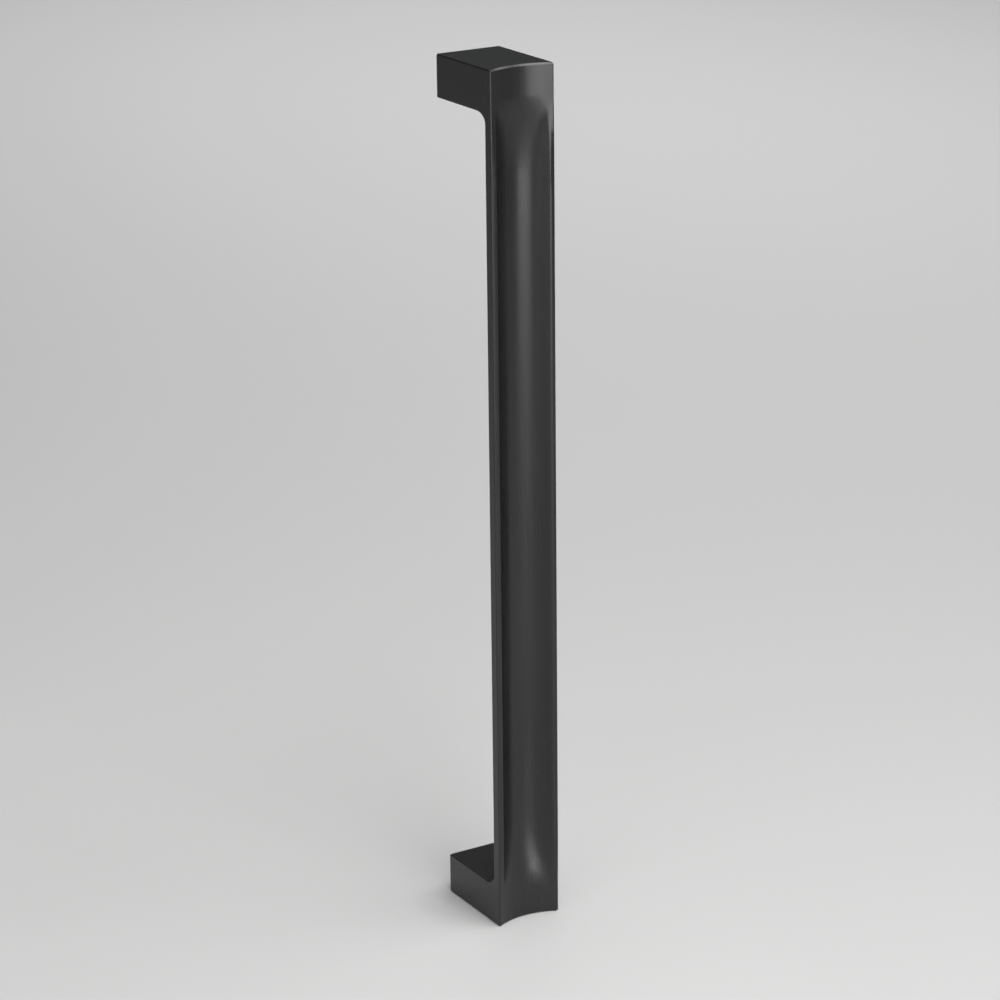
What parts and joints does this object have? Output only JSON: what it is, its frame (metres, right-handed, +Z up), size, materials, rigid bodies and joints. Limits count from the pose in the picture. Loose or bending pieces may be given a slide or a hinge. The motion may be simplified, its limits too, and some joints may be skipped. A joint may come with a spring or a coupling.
{
  "type": "cabinet handle",
  "caption": "Upright pull handle for a cabinet door: a slim bar with a hollowed grip between square legs that are flush with its ends, each with a blind screw hole in its back.",
  "frame": {"origin": "midway between the screw holes, on the plane of the legs' backs where the handle meets the door", "axes": "+Z up along the bar, +X to the right for someone facing the door, +Y into the door, so the grip is at negative Y"},
  "size_m": [0.0216, 0.0304, 0.269],
  "materials": {
    "satin_coat": "satin"
  },
  "bodies": {
    "root": {"handle": "satin_coat"}
  },
  "joints": []
}
